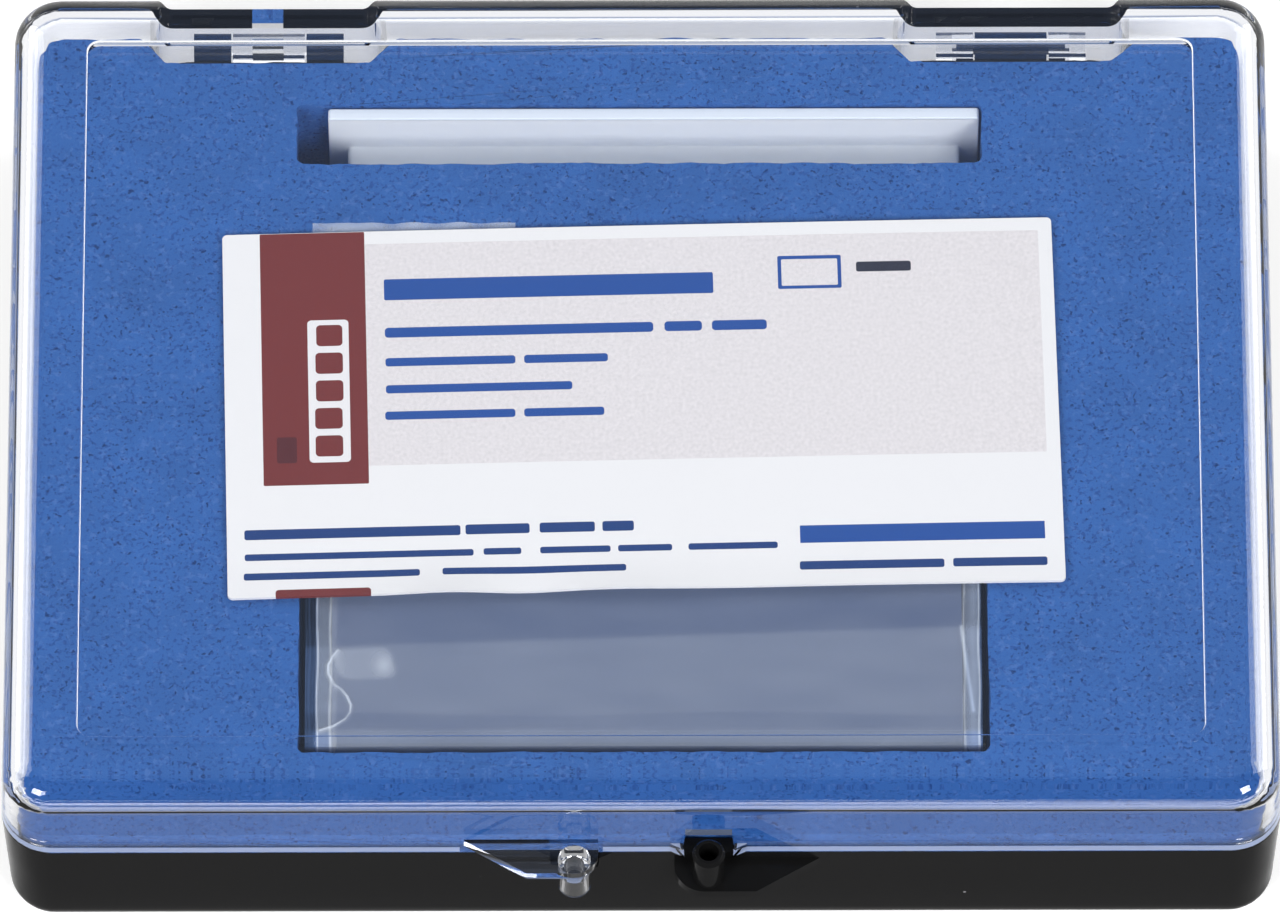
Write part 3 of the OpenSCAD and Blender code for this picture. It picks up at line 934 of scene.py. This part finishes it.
class CUVETTE_OT_card(bpy.types.Operator):
    """Make the printed card, a little warped, that lies on the foam."""

    bl_idname = "cuvette.card"
    bl_label = "Printed card"

    def execute(self, context):
        bm = merged_copy("label_card")
        low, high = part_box("label_card")
        middle = (low + high) / 2
        along = Vector((math.cos(CARD_TURN), math.sin(CARD_TURN), 0.0))
        across = Vector((-along.y, along.x, 0.0))
        # a cut every millimetre lets the card bend
        for direction, reach, count in ((along, 33.0, 67), (across, 16.5, 34)):
            for i in range(count):
                place = middle + direction * (2.0 * i / (count - 1) - 1.0) * reach * MM
                cut_across(bm, place, direction)
        for vertex in bm.verts:
            u = (vertex.co - middle).dot(along) / MM
            v = (vertex.co - middle).dot(across) / MM
            # the front hem lifts in waves and the middle bows
            hem = max(0.0, -(v + 12.5) / 4.25) ** 2
            wave = (0.30 * spread(u + 16.0, 3.5) - 0.22 * spread(u + 9.5, 3.0)
                    + 0.16 * spread(u + 2.0, 4.0) - 0.08 * spread(u - 8.0, 6.0))
            bow = 0.35 * max(0.0, 1.0 - (u / 34.0) ** 2) * (0.4 + 0.6 * hem)
            vertex.co.z += (bow + hem * (0.12 + wave)) * MM
        card = piece_from(bm, "printed_card", LOWER, "card", "label_card")
        dress(card, card_material())
        true_normals(card)
        return {"FINISHED"}


def paper_material():
    """White paper that glows a little, and has its own look in the gloss."""
    paper = material("studio_paper", (0.93, 0.93, 0.93), 0.9, Specular_IOR_Level=0.0)
    tree = paper.node_tree
    shader, output = tree.nodes["Principled BSDF"], tree.nodes["Material Output"]
    path = tree.nodes.new("ShaderNodeLightPath")
    glow = add(tree, "ShaderNodeEmission", Color=(1, 1, 1, 1))
    tree.links.new(math_node(tree, "MULTIPLY", looked_along(tree, path), 0.22),
                   glow.inputs["Strength"])
    both = tree.nodes.new("ShaderNodeAddShader")
    tree.links.new(shader.outputs[0], both.inputs[0])
    tree.links.new(glow.outputs[0], both.inputs[1])

    split = tree.nodes.new("ShaderNodeSeparateXYZ")
    tree.links.new(object_coordinates(tree), split.inputs[0])
    depth = split.outputs[1]
    front = ramp(tree, "dark in front", depth, (-0.040, -0.030), (0.40, 1.0))
    far = ramp(tree, "window light far in front", depth, (-0.105, -0.076), (5.0, 0.0))
    end = ramp(tree, "its far end", depth, (-0.26, -0.18), (0.0, 1.0))
    window = math_node(tree, "MULTIPLY", far, end)
    grey = add(tree, "ShaderNodeEmission", "table in the gloss")
    tree.links.new(math_node(tree, "ADD", front, window), grey.inputs["Strength"])

    # a ray that only passed through glass has no glossy bounce and sees plain paper
    bounced = math_node(tree, "MULTIPLY", path.outputs["Is Glossy Ray"],
                        path.outputs["Glossy Depth"])
    mirrored = tree.nodes.new("ShaderNodeMixShader")
    tree.links.new(math_node(tree, "MINIMUM", bounced, 1.0), mirrored.inputs[0])
    tree.links.new(both.outputs[0], mirrored.inputs[1])
    tree.links.new(grey.outputs[0], mirrored.inputs[2])
    tree.links.new(mirrored.outputs[0], output.inputs["Surface"])
    return paper


def add_floor(scene):
    """A wide sheet of paper just under the part."""
    bm = bmesh.new()
    bmesh.ops.create_grid(bm, x_segments=2, y_segments=2, size=6.0)
    mesh = bpy.data.meshes.new("studio_floor")
    bm.to_mesh(mesh)
    bm.free()
    floor = bpy.data.objects.new("studio_floor", mesh)
    floor.location.z = -0.0002
    scene.collection.objects.link(floor)
    mesh.materials.append(paper_material())


def mix_value(tree, factor, first, second):
    """Mixes a plain number and a socket by a factor socket."""
    node = add(tree, "ShaderNodeMix", data_type="FLOAT")
    tree.links.new(factor, node.inputs[0])
    node.inputs[2].default_value = first
    tree.links.new(second, node.inputs[3])
    return node.outputs[0]


def set_sky(scene):
    """Even light from all round; gloss sees a pale horizon and a grey screen."""
    world = scene.world or bpy.data.worlds.new("studio")
    scene.world = world
    world.use_nodes = True
    sky = world.node_tree
    back = sky.nodes["Background"]
    ray = sky.nodes.new("ShaderNodeLightPath")
    glossy = ray.outputs["Is Glossy Ray"]
    direction = sky.nodes.new("ShaderNodeSeparateXYZ")
    sky.links.new(sky.nodes.new("ShaderNodeTexCoord").outputs["Generated"],
                  direction.inputs[0])
    rearward, upward = direction.outputs[1], direction.outputs[2]
    dome = ramp(sky, "pale horizon", upward, (0.10, 0.45), (1.0, 0.0))
    sides = ramp(sky, "no horizon in front", rearward, (-0.75, -0.15), (0.0, 1.0))
    behind = ramp(sky, "grey screen behind", rearward, (0.10, 0.55), (0.12, 0.33))
    horizon = math_node(sky, "MULTIPLY", dome, sides)
    level = mix_value(sky, glossy, 1.0, math_node(sky, "MAXIMUM", behind, horizon))
    sky.links.new(mix_value(sky, looked_along(sky, ray), 0.42, level),
                  back.inputs["Strength"])
    screen = mix_colour(sky, horizon, (0.79, 1.0, 1.5), WHITE)
    sky.links.new(mix_colour(sky, glossy, WHITE, screen), back.inputs["Color"])


def add_lamp(scene, name, width, height, power, place):
    """A rectangular lamp that looks at the origin."""
    lamp = bpy.data.lights.new(name, "AREA")
    lamp.shape, lamp.size, lamp.size_y, lamp.energy = "RECTANGLE", width, height, power
    holder = bpy.data.objects.new(name, lamp)
    holder.location = place
    holder.rotation_euler = (-Vector(place)).to_track_quat("-Z", "Y").to_euler()
    scene.collection.objects.link(holder)


def add_camera(scene):
    """A long lens that looks down at the part from the front."""
    ahead = Vector((0.0, math.cos(TILT), -math.sin(TILT)))
    camera = bpy.data.cameras.new("camera")
    camera.lens, camera.sensor_width = FOCAL, 36.0
    camera.clip_start, camera.clip_end = 0.1, 20.0
    holder = bpy.data.objects.new("camera", camera)
    turn = Matrix.Rotation(math.pi / 2 - TILT, 4, "X")
    roll = Matrix.Rotation(ROLL, 4, "Z")
    place = Matrix.Translation(Vector(TARGET) - ahead * DISTANCE)
    holder.matrix_world = place @ turn @ roll
    scene.collection.objects.link(holder)
    scene.camera = holder


class CUVETTE_OT_stage(bpy.types.Operator):
    """Set the floor, the studio light and the camera."""

    bl_idname = "cuvette.stage"
    bl_label = "Studio"

    def execute(self, context):
        scene = context.scene
        scene.view_settings.view_transform = "Standard"
        add_floor(scene)
        set_sky(scene)
        for lamp in LAMPS:
            add_lamp(scene, *lamp)
        add_camera(scene)
        return {"FINISHED"}


class CUVETTE_PT_panel(bpy.types.Panel):
    """Lists the steps that dress the case."""

    bl_idname = "CUVETTE_PT_panel"
    bl_label = "Cased cuvette"
    bl_space_type = "VIEW_3D"
    bl_region_type = "UI"
    bl_category = "Cuvette"

    def draw(self, context):
        own = context.scene.cuvette_case
        for key in CuvetteCaseSettings.__annotations__:
            self.layout.prop(own, key)
        for operator in STEPS:
            self.layout.operator(operator.bl_idname)


STEPS = (
    CUVETTE_OT_stage,
    CUVETTE_OT_case,
    CUVETTE_OT_foam,
    CUVETTE_OT_cell,
    CUVETTE_OT_stopper,
    CUVETTE_OT_film,
    CUVETTE_OT_card,
)
CLASSES = (CuvetteCaseSettings, *STEPS, CUVETTE_PT_panel)


def register():
    for cls in CLASSES:
        bpy.utils.register_class(cls)
    bpy.types.Scene.cuvette_case = PointerProperty(type=CuvetteCaseSettings)


def unregister():
    del bpy.types.Scene.cuvette_case
    for cls in reversed(CLASSES):
        bpy.utils.unregister_class(cls)


def main():
    """Builds everything."""
    register()
    bpy.ops.cuvette.stage()
    bpy.ops.cuvette.case()
    bpy.ops.cuvette.foam()
    bpy.ops.cuvette.cell()
    bpy.ops.cuvette.stopper()
    bpy.ops.cuvette.film()
    bpy.ops.cuvette.card()


if __name__ == "__main__":
    main()
